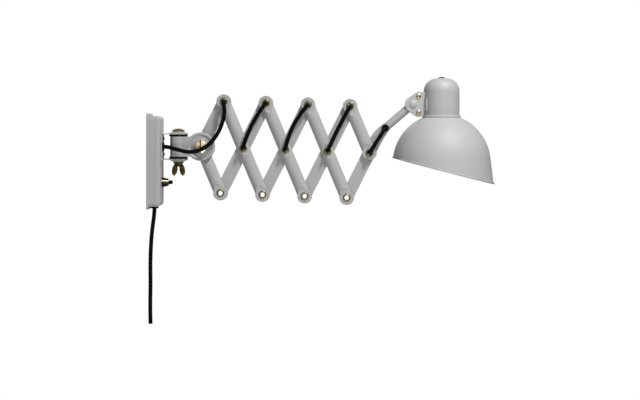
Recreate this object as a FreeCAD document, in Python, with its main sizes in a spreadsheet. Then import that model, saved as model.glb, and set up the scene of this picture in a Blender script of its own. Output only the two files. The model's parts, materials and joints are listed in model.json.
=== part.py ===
import FreeCAD, Part
import math
import os
import re
import Sketcher

# Wall lamp on a scissor arm, in millimetres.
# +X leads away from the wall, +Z is up, and the origin is the middle of the wall plate's back face.
# The arm lies in the XZ plane: front links on the -Y side, rear links on the +Y side.

Vector = FreeCAD.Vector
doc = FreeCAD.newDocument("scissor_wall_lamp")
sheet = doc.addObject("Spreadsheet::Sheet", "Sizes")

# Driving dimensions, grouped by the assembly they belong to
SIZES = {
    # general fits
    "run_fit": 0.06,
    "face_gap": 0.1,
    "sheet_wall": 1.5,
    # wall plate and cover
    "plate_high": 196.7,
    "plate_wide": 80,
    "plate_thick": 4,
    "cover_high": 185.7,
    "cover_wide": 70,
    "cover_front": 28,
    "cover_round": 7,
    "wall_screw_pitch": 140,
    "wall_screw_hole": 2.6,
    # swivel bracket and its bolt
    "swivel_x": 62,
    "hub_z": 30.1,
    "ear_inside": 25.2,
    "ear_thick": 2,
    "ear_round": 19.6,
    "web_screw": 2.5,
    "web_screw_y": 10,
    "web_screw_rise": 16,
    "web_head": 4.5,
    "web_head_high": 2.4,
    "bolt_shank": 5,
    "bolt_head": 13,
    "bolt_head_high": 6.2,
    "bolt_tail": 9,
    "dish_wide": 18,
    "dish_rise": 4.4,
    "dish_rim": 0.9,
    "nut_round": 10.7,
    "nut_waist": 8.1,
    "nut_high": 10,
    "wing_long": 12.2,
    "wing_wide": 5.7,
    "wing_thick": 2.4,
    "wing_drop": 16.6,
    "wing_spread": 7.8,
    "wing_lean": 9,
    # swivel block and hub
    "bush_round": 15.3,
    "bush_flange": 19.3,
    "flange_thick": 4.4,
    "block_round": 19,
    "block_cut": 12.8,
    "hub_x": 109,
    "hub_disc": 29.4,
    "hub_disc_thick": 10,
    "hub_disc_edge": 2.5,
    "hub_dish": 22,
    "hub_dish_deep": 2,
    "hub_dish_bevel": 3,
    "hub_shank": 4,
    "hub_head": 13,
    "hub_head_high": 4.6,
    "hub_slot": 2.4,
    "hub_washer_round": 18,
    "hub_washer_rise": 3.4,
    "friction_round": 20.7,
    "friction_thick": 1,
    "clamp_thick": 3,
    "hub_nut_round": 7.6,
    "hub_nut_high": 5.5,
    # scissor links
    "half_link": 104.2,
    "link_angle": 65.3,
    "arm_sag": 2.1,
    "link_wide": 26,
    "link_crest": 7.5,
    "end_round": 15.2,
    "end_thick": 5.5,
    "edge_round": 0.9,
    "half_gap": 0.4,
    "bar_gap": 1.7,
    "mid_spot": 9.2,
    "spot_slope": 3,
    "hub_end_round": 23,
    # hollow pivot eyelets
    "eyelet_bore": 4.7,
    "eyelet_tube": 5.8,
    "eyelet_lip": 8.2,
    "lip_thick": 1.5,
    "eyelet_edge": 0.7,
    # cords
    "cord_round": 4.2,
    "cord_standoff": 17,
    "cord_belly": 1.6,
    "cord_room": 0.4,
    # lamp arm and ball joint
    "arm_rise": 46,
    "bend_reach": 24,
    "tube_round": 8.3,
    "tube_bore": 5.6,
    "entry_reach": 15.6,
    "entry_stand": 12.3,
    "entry_flat": 1.8,
    "entry_lip": 7.5,
    "entry_lip_high": 2.8,
    "entry_neck": 1.5,
    "entry_flare": 1.2,
    "spigot_long": 26,
    "tube_long": 91,
    "tube_slope": 40.34,
    "ball_round": 12.5,
    "joint_half": 8.9,
    "joint_sheet": 2.4,
    "joint_nose": 16,
    "joint_screw_x": 11.2,
    "joint_screw_z": 16.7,
    "joint_lobe": 9,
    "joint_screw_round": 2.5,
    "joint_head": 5,
    "joint_head_high": 2.8,
    "joint_slot": 1.1,
    "joint_slot_turn": 35,
    "foot_wide": 11,
    "foot_high": 25.6,
    "foot_sheet": 1.6,
    # shade
    "neck_reach": 59.7,
    "ball_lift": 27.4,
    "neck_round": 37.0,
    "neck_high": 81.6,
    "neck_corner": 26.6,
    "bead_high": 5.2,
    "bead_round": 39.7,
    "bead_slope": 2,
    "collar_high": 9,
    "bowl_top_round": 39,
    "bowl_arc": 103,
    "bowl_turn_round": 100.5,
    "bowl_turn_z": 10,
    "skirt_angle": 7,
    "skirt_deep": 90,
    "bowl_sheet": 1.2,
    "rim_back": 99.6,
    "rim_lift": 7.9,
    "rim_slope": 14.5,
    "rim_band": 4,
    "rim_proud": 1.8,
    # lampholder
    "holder_round": 20.5,
    "holder_lift": 19.9,
    "holder_high": 52,
    "holder_slope": 9,
    "stud_deep": 8,
    "top_nut_round": 7.8,
    "top_nut_high": 2.8,
    "contact_round": 4,
    "contact_high": 3.5,
    "shell_inset": 1.5,
    "shell_round": 15.2,
    "shell_bore": 13.3,
    "shell_long": 25,
    # switch, grommets and cord glands
    "grommet_y": -10,
    "grommet_round": 9.6,
    "grommet_grip": 7.7,
    "grommet_hole": 6,
    "switch_z": -43.8,
    "collar_round": 10.2,
    "collar_tip": 7.4,
    "collar_thread": 6.2,
    "collar_long": 13.7,
    "button_round": 4.1,
    "button_long": 8.7,
    "button_travel": 3,
    "button_inside": 7,
    "button_edge": 2,
    "flange_inside": 2,
    "flange_front": 3.6,
    "block_wide": 34,
    "block_high": 18,
    "block_deep": 12,
    "block_z": -22,
    "wire_hole": 2,
    "wire_pitch": 10,
    "gland_x": 12.6,
    "gland_round": 8.4,
    "gland_neck": 5.6,
    "gland_grip": 7.2,
    "gland_drop": 4.7,
}
for row, (alias, number) in enumerate(SIZES.items(), 1):
    sheet.set(f"A{row}", alias)
    sheet.set(f"B{row}", str(number))
    sheet.setAlias(f"B{row}", alias)
doc.recompute()


def formula(text):
    """Put the sheet's name before every size alias in a formula."""
    return re.sub(
        r"[a-z_]+",
        lambda word: "Sizes." + word.group() if word.group() in SIZES else word.group(),
        str(text),
    )


def value(text):
    """The number that a formula of size aliases comes to."""
    return float(sheet.evalExpression(re.sub(r"\s+", " ", str(text))))


def derive(alias, text):
    """Add a size to the sheet that follows from the others."""
    row = len(SIZES) + 1
    SIZES[alias] = text
    sheet.set(f"A{row}", alias)
    sheet.set(f"B{row}", f"={text}")
    sheet.setAlias(f"B{row}", alias)
    doc.recompute()


def bind(thing, path, text):
    thing.setExpression(path, formula(text))


def place(thing, at, axis=None, angle="0"):
    """Set a piece's place, and its turn about an axis, from formulas."""
    if axis is not None:
        thing.Placement = FreeCAD.Placement(Vector(), FreeCAD.Rotation(Vector(*axis), 1))
        bind(thing, "Placement.Rotation.Angle", angle)
    for letter, text in zip("xyz", at):
        bind(thing, f"Placement.Base.{letter}", text)
    return thing


ALONG = {"x": ((0, 1, 0), 90), "y": ((1, 0, 0), -90), "front": ((1, 0, 0), 90), "z": (None, 0)}


def lay(thing, at, direction):
    """Place a piece that was made along Z so that it runs in the given direction."""
    axis, angle = ALONG[direction]
    return place(thing, at, axis, str(angle))


def arc_middle(start, end, radius):
    """Middle of the arc from start to end; a negative radius turns clockwise."""
    chord = end - start
    half = chord.Length / 2
    rise = abs(radius) - math.sqrt(max(radius * radius - half * half, 0))
    side = Vector(chord.y, -chord.x, 0).normalize()
    return (start + end) * 0.5 + side * math.copysign(rise, radius)


def outline(body, plane, points):
    """A closed sketch through points given as formulas; a third entry is the radius of the next arc."""
    sketch = body.newObject("Sketcher::SketchObject", "Outline")
    origin = [f for f in body.Origin.OriginFeatures if f.Role == plane][0]
    sketch.AttachmentSupport = [(origin, "")]
    sketch.MapMode = "FlatFace"
    spots = [Vector(value(p[0]), value(p[1]), 0) for p in points]
    ends = []
    for n, point in enumerate(points):
        start, end = spots[n], spots[(n + 1) % len(points)]
        if len(point) == 2:
            sketch.addGeometry(Part.LineSegment(start, end))
            ends.append((1, 2))
        else:
            radius = value(point[2])
            sketch.addGeometry(Part.Arc(start, arc_middle(start, end, radius), end))
            ends.append((1, 2) if radius > 0 else (2, 1))
    for n, point in enumerate(points):
        after = (n + 1) % len(points)
        sketch.addConstraint(Sketcher.Constraint("Coincident", n, ends[n][1], after, ends[after][0]))
        for kind, axis, text in (("DistanceX", -2, point[0]), ("DistanceY", -1, point[1])):
            if str(text) == "0":
                sketch.addConstraint(Sketcher.Constraint("PointOnObject", n, ends[n][0], axis))
            else:
                rule = Sketcher.Constraint(kind, -1, 1, n, ends[n][0], value(text))
                bind(sketch, f"Constraints[{sketch.addConstraint(rule)}]", text)
        if len(point) == 3:
            rule = Sketcher.Constraint("Radius", n, abs(value(point[2])))
            bind(sketch, f"Constraints[{sketch.addConstraint(rule)}]", point[2].lstrip("-"))
    return sketch


def lathe(label, points):
    """A turned piece: an outline of (radius, height) spun about Z."""
    body = doc.addObject("PartDesign::Body", label)
    body.Label = label
    turned = body.newObject("PartDesign::Revolution", "Turned")
    turned.Profile = outline(body, "XZ_Plane", points)
    turned.ReferenceAxis = (turned.Profile[0], ["V_Axis"])
    turned.Angle = 360
    return body


def plate(label, plane, points, thick):
    """A flat piece: an outline raised square to its plane."""
    body = doc.addObject("PartDesign::Body", label)
    body.Label = label
    raised = body.newObject("PartDesign::Pad", "Raised")
    raised.Profile = outline(body, plane, points)
    bind(raised, "Length", thick)
    return body


def rod(radius, length, at, direction):
    """A cylinder from a point along a direction."""
    thing = doc.addObject("Part::Cylinder", "Rod")
    bind(thing, "Radius", radius)
    bind(thing, "Height", length)
    return lay(thing, at, direction)


def cone(base, end, long, at, direction):
    """A round cone with its base at a place."""
    thing = doc.addObject("Part::Cone", "Cone")
    bind(thing, "Radius1", base)
    bind(thing, "Radius2", end)
    bind(thing, "Height", long)
    return lay(thing, at, direction)


def block(size, at):
    """A box by its three sides and its lowest corner."""
    thing = doc.addObject("Part::Box", "Block")
    for side, text in zip(("Length", "Width", "Height"), size):
        bind(thing, side, text)
    return place(thing, at)


def fuse(label, *pieces):
    thing = doc.addObject("Part::MultiFuse", label)
    thing.Shapes = list(pieces)
    thing.Label = label
    return thing


def cut(label, base, *tools):
    """Take tools away from a base."""
    thing = doc.addObject("Part::Cut", label)
    thing.Base = base
    thing.Tool = tools[0] if len(tools) == 1 else fuse("Cutters", *tools)
    thing.Label = label
    return thing


def common(label, first, second):
    thing = doc.addObject("Part::MultiCommon", label)
    thing.Shapes = [first, second]
    thing.Label = label
    return thing


def group(label, *pieces):
    """Like pieces that stay separate solids in one node."""
    thing = doc.addObject("Part::Compound", label)
    thing.Links = list(pieces)
    thing.Label = label
    return thing


def rounded(label, base, radius, chosen):
    """Round the edges of a piece that a test on the edge chooses."""
    doc.recompute()
    thing = doc.addObject("Part::Fillet", label)
    thing.Base = base
    size = value(radius)
    thing.Edges = [(n, size, size) for n, edge in enumerate(base.Shape.Edges, 1) if chosen(edge)]
    thing.Label = label
    return thing


def ring(inner, outer, low, high):
    """Outline of a plain ring."""
    return [(inner, low), (outer, low), (outer, high), (inner, high)]


NODES = []


def node(thing):
    """Keep a finished piece for the files."""
    NODES.append(thing)
    return thing


# Wall plate: painted base plate with two holes for the wall screws
plate_blank = block(
    ("plate_thick", "plate_wide", "plate_high"), ("0", "-plate_wide/2", "-plate_high/2")
)
plate_soft = rounded(
    "plate_soft", plate_blank, "plate_thick*1.2",
    lambda edge: abs(edge.tangentAt(edge.FirstParameter).x) > 0.9,
)
plate_rim = rounded(
    "plate_rim", plate_soft, "plate_thick*0.3",
    lambda edge: edge.BoundBox.XMin > value("plate_thick") - 0.01,
)
wall_holes = [
    rod("wall_screw_hole", "plate_thick*3", ("-plate_thick", "0", f"{side}*wall_screw_pitch/2"), "x")
    for side in (-1, 1)
]
node(cut("wall_plate", plate_rim, *wall_holes))

# Cover: a deep drawn sheet box over the plate, open at the back
cover_deep = "(cover_front - plate_thick)"


def cover_shell(label, inset):
    """The box of the cover, shrunk by an inset, with its front and corners rounded."""
    shell = block(
        (f"{cover_deep} - {inset}", f"cover_wide - 2*{inset}", f"cover_high - 2*{inset}"),
        ("plate_thick", f"-cover_wide/2 + {inset}", f"-cover_high/2 + {inset}"),
    )
    front = value(f"cover_front - {inset}") - 0.01
    return rounded(
        label, shell, f"cover_round - {inset}",
        lambda edge: edge.BoundBox.XMin > front or abs(edge.tangentAt(edge.FirstParameter).x) > 0.9,
    )


def front_holes():
    """Rods through the cover's front and the bracket's web, for the grommet and two screws."""
    behind = "cover_front - cover_round"
    screw_rows = ("hub_z - web_screw_rise", "hub_z + web_screw_rise")
    return [rod("grommet_hole", "cover_round*2", (behind, "grommet_y", "hub_z"), "x")] + [
        rod("web_screw", "cover_round*2", (behind, "web_screw_y", screw_row), "x")
        for screw_row in screw_rows
    ]


cover_holes = front_holes() + [
    rod("collar_thread", "cover_round*2", ("cover_front - cover_round", "0", "switch_z"), "x"),
    rod("gland_neck", "cover_round*2", ("gland_x", "0", "-cover_high/2 - cover_round"), "z"),
]
cover_inside = cover_shell("cover_inside", "sheet_wall")
node(cut("box_cover", cover_shell("cover_outside", "0"), cover_inside, *cover_holes))

# Swivel bracket: one sheet strip bent to a U, its web on the cover and its two round ears reaching out
ear_high = "(ear_inside + ear_thick)"
ear_plan = plate("ear_plan", "XY_Plane", [
    ("cover_front", "-ear_round"),
    ("swivel_x", "-ear_round", "ear_round*1.0001"),
    ("swivel_x + ear_round", "0", "ear_round*1.0001"),
    ("swivel_x", "ear_round"),
    ("cover_front", "ear_round"),
], f"2*{ear_high}")
place(ear_plan, ("0", "0", f"hub_z - {ear_high}"))
bracket_tools = [
    block(("swivel_x*2", "ear_round*3", "2*ear_inside"),
          ("cover_front + ear_thick", "-1.5*ear_round", "hub_z - ear_inside")),
    rod("bolt_shank + run_fit", "ear_inside*4", ("swivel_x", "0", "hub_z - 2*ear_inside"), "z"),
] + front_holes()
node(cut("swivel_bracket", ear_plan, *bracket_tools))


def dome(radius, rise):
    """Radius of the arc that rises to a peak on the axis."""
    return f"((pow({radius}; 2) + pow({rise}; 2))/(2*({rise})))"


def pan_screw(label, shank, head, head_high, long):
    """A domed screw: head above Z = 0, shank below."""
    return lathe(label, [
        ("0", f"-({long})"),
        (shank, f"-({long})"),
        (shank, "0"),
        (head, "0"),
        (head, f"{head_high}*0.4", dome(head, f"({head_high}*0.6)")),
        ("0", head_high),
    ])


# Two screws hold the bracket's web to the cover
web_screws = [
    lay(pan_screw(f"web_screw_{n}", "web_screw - run_fit", "web_head", "web_head_high", "cover_round"),
        ("cover_front + ear_thick", "web_screw_y", f"hub_z + {side}*web_screw_rise"), "x")
    for n, side in enumerate((-1, 1))
]
node(group("bracket_screws", *web_screws))

# Swivel bolt: brass, its domed head above the upper ear, its shank down to the wing nut
bolt_seat = f"(hub_z + {ear_high} + dish_rise)"
nut_seat = f"(hub_z - {ear_high} - dish_rise)"
bolt_long = f"({bolt_seat} - {nut_seat} + bolt_tail)"
swivel_bolt = pan_screw("swivel_bolt", "bolt_shank", "bolt_head", "bolt_head_high", bolt_long)
node(place(swivel_bolt, ("swivel_x", "0", bolt_seat)))

# Dished washers: one on each ear, wide face to the ear
dishes = []
for n, side in enumerate((1, -1)):
    dish = lathe(f"dish_{n}", [
        ("bolt_shank + run_fit", "0"),
        ("dish_wide", "0"),
        ("dish_wide", "dish_rim"),
        ("bolt_head*0.8", "dish_rise"),
        ("bolt_shank + run_fit", "dish_rise"),
    ])
    turn = "0" if side > 0 else "180"
    dishes.append(place(dish, ("swivel_x", "0", f"hub_z + {side}*{ear_high}"), (1, 0, 0), turn))
node(group("dished_washers", *dishes))

# Wing nut: a waisted hub with two hanging lobes
nut_hub = lathe("nut_hub", [
    ("bolt_shank + run_fit", "0"),
    ("nut_round", "0"),
    ("nut_round", "-nut_high*0.16"),
    ("nut_waist", "-nut_high/2"),
    ("nut_waist", "-nut_high"),
    ("bolt_shank + run_fit", "-nut_high"),
])
nut_lobes = []
for side in (-1, 1):
    lobe = doc.addObject("Part::Ellipsoid", "Lobe")
    bind(lobe, "Radius1", "wing_long")
    bind(lobe, "Radius2", "wing_wide")
    bind(lobe, "Radius3", "wing_thick")
    hang = (f"{side}*wing_spread", "0", "-wing_drop")
    nut_lobes.append(place(lobe, hang, (0, 1, 0), f"{side}*-wing_lean"))
nut_bore = rod("bolt_shank + run_fit", "bolt_tail*2", ("0", "0", "-bolt_tail - face_gap*10"), "z")
wing_nut = cut("wing_nut", fuse("nut_body", nut_hub, *nut_lobes), nut_bore)
node(place(wing_nut, ("swivel_x", "0", nut_seat)))

# Swivel block: a casting with a barrel round the bush, open towards the wall, and the hub disc in front
barrel_half = "(ear_inside - flange_thick - face_gap)"
disc_back = "(half_gap + end_thick + friction_thick + face_gap)"
disc_front = f"({disc_back} + hub_disc_thick)"
barrel = rod("block_round", f"2*{barrel_half}", ("swivel_x", "0", f"hub_z - {barrel_half}"), "z")
neck_web = block(("hub_x - swivel_x", "hub_disc_thick", f"2*{barrel_half}"),
                 ("swivel_x", f"-{disc_front}", f"hub_z - {barrel_half}"))
disc = lathe("hub_disc_blank", [
    ("0", disc_back),
    ("hub_disc", disc_back),
    ("hub_disc", f"{disc_front} - hub_disc_edge", "hub_disc_edge"),
    ("hub_disc - hub_disc_edge", disc_front),
    ("0", disc_front),
])
lay(disc, ("hub_x", "0", "hub_z"), "front")
dish_room = lay(lathe("dish_room", [
    ("0", f"{disc_front} - hub_dish_deep"),
    ("hub_dish", f"{disc_front} - hub_dish_deep"),
    ("hub_dish + hub_dish_bevel", disc_front),
    ("hub_dish + hub_dish_bevel", f"{disc_front} + hub_disc_thick"),
    ("0", f"{disc_front} + hub_disc_thick"),
]), ("hub_x", "0", "hub_z"), "front")
block_tools = [
    rod("bush_round + face_gap", "ear_inside*3", ("swivel_x", "0", "hub_z - 1.5*ear_inside"), "z"),
    block(("block_round", "block_round*3", "ear_inside*3"),
          ("swivel_x - block_cut - block_round", "-1.5*block_round", "hub_z - 1.5*ear_inside")),
    rod("hub_shank + run_fit", "hub_disc_thick*4", ("hub_x", "-hub_disc_thick*4", "hub_z"), "y"),
    dish_room,
]
node(cut("swivel_block", fuse("block_cast", barrel, neck_web, disc), *block_tools))

# Swivel bushes: two black flanged sleeves in the barrel, one from each end
bushes = []
for n, turn in enumerate(("0", "180")):
    bush = lathe(f"bush_{n}", [
        ("bolt_shank + run_fit", "face_gap"),
        ("bush_round", "face_gap"),
        ("bush_round", f"{barrel_half} + face_gap"),
        ("bush_flange - flange_thick*0.4", f"{barrel_half} + face_gap"),
        ("bush_flange", f"{barrel_half} + flange_thick*0.45"),
        ("bush_flange", "ear_inside - face_gap"),
        ("bolt_shank + run_fit", "ear_inside - face_gap"),
    ])
    bushes.append(place(bush, ("swivel_x", "0", "hub_z"), (1, 0, 0), turn))
node(group("swivel_bushes", *bushes))

# Hub clamp: slotted brass screw, dished washer, friction discs, rear plate and nut
dish_floor = f"({disc_front} - hub_dish_deep)"
head_seat = f"({dish_floor} + hub_washer_rise)"
hub_back = "(half_gap + end_thick + friction_thick + face_gap)"
screw_blank = pan_screw(
    "hub_screw_blank", "hub_shank", "hub_head", "hub_head_high",
    f"{head_seat} + {hub_back} + clamp_thick + hub_nut_high",
)
lay(screw_blank, ("hub_x", f"-{head_seat}", "hub_z"), "front")
screw_slot = block(
    ("hub_slot", "hub_head_high", "hub_head*2.2"),
    ("hub_x - hub_slot/2", f"-{head_seat} - hub_head_high*1.5", "hub_z - hub_head*1.1"),
)
node(cut("hub_screw", screw_blank, screw_slot))
node(lay(lathe("hub_washer", [
    ("hub_shank + run_fit", dish_floor),
    ("hub_washer_round", dish_floor),
    ("hub_washer_round", f"{dish_floor} + dish_rim"),
    ("hub_head*0.85", head_seat),
    ("hub_shank + run_fit", head_seat),
]), ("hub_x", "0", "hub_z"), "front"))
link_face = "(half_gap + end_thick + face_gap/2)"
friction_face = f"{link_face} + friction_thick"
friction_ring = ring("hub_shank + run_fit", "friction_round", link_face, friction_face)
friction = [
    lay(lathe(f"friction_{direction}", friction_ring), ("hub_x", "0", "hub_z"), direction)
    for direction in ("front", "y")
]
node(group("friction_discs", *friction))
node(lay(lathe("clamp_plate", [
    ("hub_shank + run_fit", hub_back),
    ("hub_end_round", hub_back),
    ("hub_end_round", f"{hub_back} + clamp_thick - edge_round", "edge_round"),
    ("hub_end_round - edge_round", f"{hub_back} + clamp_thick"),
    ("hub_shank + run_fit", f"{hub_back} + clamp_thick"),
]), ("hub_x", "0", "hub_z"), "y"))
nut_low = f"({hub_back} + clamp_thick)"
node(lay(lathe("hub_nut", [
    ("hub_shank + run_fit", nut_low),
    ("hub_nut_round", nut_low),
    ("hub_nut_round", f"{nut_low} + hub_nut_high - edge_round"),
    ("hub_nut_round - edge_round", f"{nut_low} + hub_nut_high"),
    ("hub_shank + run_fit", f"{nut_low} + hub_nut_high"),
]), ("hub_x", "0", "hub_z"), "y"))

# Pivots of the arm: counted in half cells along it, in the row above (1), on (0) or below (-1) it


def pivot(cells, row):
    """Formulas for the X and Z of a pivot of the scissor arm."""
    out = f"({cells}*half_link*cos(link_angle))"
    up = f"({row}*half_link*sin(link_angle))"
    x = f"(hub_x + {out}*cos(arm_sag) + {up}*sin(arm_sag))"
    z = f"(hub_z - {out}*sin(arm_sag) + {up}*cos(arm_sag))"
    return x, z


CELLS = 4
HUB = pivot(0, 0)
TOP = {k: pivot(2 * k - 1, 1) for k in range(1, CELLS + 1)}
LOW = {k: pivot(2 * k - 1, -1) for k in range(1, CELLS + 1)}
MID = {k: pivot(2 * k, 0) for k in range(1, CELLS + 1)}
FRONT_TURN = "(link_angle + arm_sag)"
REAR_TURN = "(-link_angle + arm_sag)"

bar_crest = "(link_crest + half_gap - bar_gap)"
link_bulge = f"((link_wide*link_wide/4 + {bar_crest}*{bar_crest})/(2*{bar_crest}))"


def link_blank(name, span, ends, front):
    """A half-round bar along X with flat round ends and bosses that clear the bar it crosses.

    Each end is a place along the bar, a boss's radius and height, a flat spot's radius and a hole.
    """
    low = "-half_gap - link_crest" if front else "bar_gap"
    sink = f"(half_gap + link_crest - {link_bulge})"
    middle = f"-{sink}" if front else sink
    bar = common(
        f"{name}_bar",
        block((span, bar_crest, "link_wide"), ("0", low, "-link_wide/2")),
        rod(link_bulge, span, ("0", middle, "0"), "x"),
    )
    direction = "front" if front else "y"
    outward = f"{'-' if front else ''}(half_gap + end_thick)"
    discs = []
    tools = []
    for at, boss, high, spot, hole in ends:
        disc = lathe(f"{name}_end", [
            ("0", "half_gap"),
            (boss, "half_gap"),
            (boss, f"half_gap + {high} - edge_round", "edge_round"),
            (f"{boss} - edge_round", f"half_gap + {high}"),
            ("0", f"half_gap + {high}"),
        ])
        discs.append(lay(disc, (at, "0", "0"), direction))
        ramp = f"{spot} + link_crest*spot_slope"
        tools.append(cone(spot, ramp, "link_crest", (at, outward, "0"), direction))
        tools.append(rod(hole, "link_crest*6", (at, "-link_crest*3", "0"), "y"))
    return fuse(f"{name}_body", bar, *discs), tools


EYE_HOLE = "(eyelet_tube + run_fit)"
END = ("end_round", "end_thick", "end_round", EYE_HOLE)
MIDDLE = ("mid_spot", "(end_thick/2)", "mid_spot", EYE_HOLE)
HUB_END = ("hub_end_round", "end_thick", "(hub_disc + face_gap*8)", "(hub_shank + run_fit)")


def link(name, start, span, ends, front):
    """A finished link, turned and moved to its first pivot."""
    body, tools = link_blank(name, span, ends, front)
    whole = cut(name, body, *tools)
    return node(place(whole, (start[0], "0", start[1]), (0, 1, 0), FRONT_TURN if front else REAR_TURN))


# Half links at the hub, full links between, and the front half link at the far end
link("front_link_0", HUB, "half_link", [("0", *HUB_END), ("half_link", *END)], True)
link("rear_link_0", HUB, "half_link", [("0", *HUB_END), ("half_link", *END)], False)
full = [("0", *END), ("half_link", *MIDDLE), ("2*half_link", *END)]
for k in range(1, CELLS):
    link(f"front_link_{k}", TOP[k], "2*half_link", full, True)
    link(f"rear_link_{k}", LOW[k], "2*half_link", full, False)
link("front_link_4", TOP[CELLS], "half_link", [("0", *END), ("half_link", *END)], True)

# Eyelets: hollow brass rivets through both links at each pivot, kept with the front link they hold
lip_seat = "(half_gap + end_thick + face_gap/2)"
lip_face = f"({lip_seat} + lip_thick)"


def eyelet(name, at):
    body = lathe(name, [
        ("eyelet_tube", f"-{lip_seat}"),
        ("eyelet_lip", f"-{lip_seat}", "-lip_thick"),
        ("eyelet_lip - lip_thick", f"-{lip_face}"),
        ("eyelet_bore + eyelet_edge", f"-{lip_face}", "-eyelet_edge"),
        ("eyelet_bore", f"-{lip_face} + eyelet_edge"),
        ("eyelet_bore", f"{lip_face} - eyelet_edge", "-eyelet_edge"),
        ("eyelet_bore + eyelet_edge", lip_face),
        ("eyelet_lip - lip_thick", lip_face, "-lip_thick"),
        ("eyelet_lip", lip_seat),
        ("eyelet_tube", lip_seat),
    ])
    return lay(body, (at[0], "0", at[1]), "front")


held = {0: [LOW[1]]}
for k in range(1, CELLS + 1):
    held[k] = [TOP[k], MID[k]] + ([LOW[k + 1]] if k < CELLS else [])
for k, spots in held.items():
    node(group(f"eyelets_{k}", *[eyelet(f"eyelet_{k}_{n}", spot) for n, spot in enumerate(spots)]))


# Lamp arm: the last rear link runs on past its pivot, bends and narrows to the lamp's tube
arm_y = "(half_gap + link_crest/2)"
arm_pitch = "(link_angle - arm_sag)"
bend_x = f"({MID[CELLS][0]} + arm_rise*cos({arm_pitch}))"
bend_z = f"({MID[CELLS][1]} + arm_rise*sin({arm_pitch}))"
derive("ball_x", f"{bend_x} + tube_long*cos(tube_slope)")
derive("ball_z", f"{bend_z} + tube_long*sin(tube_slope)")


def point(x, y, z):
    return Vector(value(x), value(y), value(z))


SIDE = Vector(0, 1, 0)
arm_pivot = point(MID[CELLS][0], "0", MID[CELLS][1])
bend = point(bend_x, "0", bend_z)
ball = point("ball_x", arm_y, "ball_z")
link_way = (bend - arm_pivot).normalize()
tube_way = (ball - bend - SIDE * ball.y).normalize()


def oval(middle, way, half_wide, seat, low, high):
    """Section of the arm across its way: one arc above the seat and one below."""
    across = way.cross(SIDE)
    left = middle + across * half_wide + SIDE * seat
    right = middle - across * half_wide + SIDE * seat
    over = Part.Arc(left, middle + SIDE * (seat + high), right)
    under = Part.Arc(right, middle + SIDE * (seat - low), left)
    return Part.Wire([over.toShape(), under.toShape()])


bend_reach = value("bend_reach")
tube_round = value("tube_round")
link_half = value("link_wide/2")
bar_seat = value("bar_gap")
crest = value(bar_crest)
turn = link_way.getAngle(tube_way)
bend_round = bend_reach / math.tan(turn / 2)
bend_middle = bend + (tube_way - link_way).normalize() * (bend_round / math.cos(turn / 2) - bend_round)
flat = 0.05
sections = [
    oval(bend - link_way * bend_reach, link_way, link_half, bar_seat, flat, crest),
    oval(
        bend_middle, (link_way + tube_way).normalize(), (link_half + tube_round) / 2 + 1,
        (bar_seat + ball.y) / 2, tube_round / 2, (crest + tube_round) / 2,
    ),
    oval(bend + tube_way * bend_reach, tube_way, tube_round, ball.y, tube_round, tube_round),
]
taper = doc.addObject("Part::Feature", "arm_taper")
taper.Shape = Part.makeLoft(sections, True)


def along_tube(distance):
    """Formulas for a point on the tube's axis, at a distance from the ball towards the arm."""
    return f"ball_x - ({distance})*cos(tube_slope)", arm_y, f"ball_z - ({distance})*sin(tube_slope)"


def tube_rod(radius, start, end):
    """A rod on the tube's axis between two distances from the ball."""
    thing = doc.addObject("Part::Cylinder", "TubeRod")
    bind(thing, "Radius", radius)
    bind(thing, "Height", f"{start} - ({end})")
    return place(thing, along_tube(start), (0, 1, 0), "90 - tube_slope")


def sphere(radius, at):
    thing = doc.addObject("Part::Sphere", "Sphere")
    bind(thing, "Radius", radius)
    return place(thing, at)


BALL = ("ball_x", arm_y, "ball_z")
arm_link, arm_tools = link_blank(
    "lamp_arm", "half_link + arm_rise - bend_reach", [("0", *END), ("half_link", *MIDDLE)], False
)
arm_bar = cut("lamp_arm_bar", arm_link, *arm_tools)
place(arm_bar, (LOW[CELLS][0], "0", LOW[CELLS][1]), (0, 1, 0), REAR_TURN)
arm_tube = tube_rod("tube_round", "(tube_long - bend_reach)", "ball_round*0.6")

# Cords: straight runs joined by arcs that touch them


def route(points):
    """Wire along points, its corners rounded by 0.45 of the shorter run beside them."""
    edges = []
    start = points[0]
    radii = []
    for before, corner, after in zip(points, points[1:], points[2:]):
        inward, outward = corner - before, after - corner
        reach = 0.45 * min(inward.Length, outward.Length)
        turned = inward.getAngle(outward)
        inward.normalize()
        outward.normalize()
        radius = reach / math.tan(turned / 2)
        first, last = corner - inward * reach, corner + outward * reach
        depth = radius / math.cos(turned / 2) - radius
        middle = corner + (outward - inward).normalize() * depth
        edges.append(Part.LineSegment(start, first).toShape())
        edges.append(Part.Arc(first, middle, last).toShape())
        radii.append(round(radius, 1))
        start = last
    edges.append(Part.LineSegment(start, points[-1]).toShape())
    return Part.Wire(edges), radii


def tube(label, points, radius):
    """A round tube along a route."""
    path, radii = route(points)
    section = Part.Wire(Part.makeCircle(radius, points[0], points[1] - points[0]))
    thing = doc.addObject("Part::Feature", label)
    thing.Shape = path.makePipeShell([section], True, True)
    thing.Label = label
    return thing, path, radii


def cord(label, points):
    thing, path, radii = tube(label, points, value("cord_round"))
    expected = math.pi * value("cord_round") ** 2 * path.Length
    share = round(thing.Shape.Volume / expected, 4)
    print(label, "length", round(path.Length, 1), "radii", radii, "volume share", share)
    return node(thing)


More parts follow.
